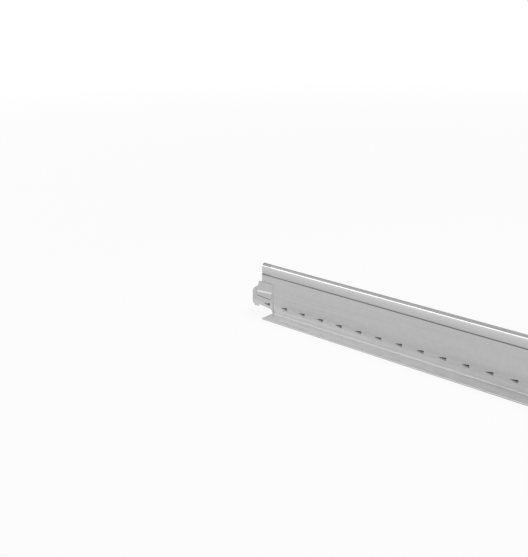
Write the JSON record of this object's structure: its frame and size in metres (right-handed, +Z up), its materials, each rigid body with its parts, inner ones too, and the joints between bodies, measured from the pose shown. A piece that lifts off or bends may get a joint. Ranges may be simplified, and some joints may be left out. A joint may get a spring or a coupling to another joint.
{
  "type": "ceiling grid cross tee",
  "caption": "Cross tee for a suspended-ceiling grid: hollow-bulb steel tee with a doubled, stitched web, joggled end tabs and a hemmed capping strip on its face.",
  "frame": {"origin": "middle of the underside of the capped flange", "axes": "+X along the tee, +Y across the flange, +Z up the web to the bulb"},
  "size_m": [0.613, 0.024, 0.038],
  "materials": {
    "galvanised_steel": "galvanised, satin",
    "painted_cap": "matt paint"
  },
  "bodies": {
    "root": {"tee_body": "galvanised_steel", "face_cap": "painted_cap"}
  },
  "joints": []
}
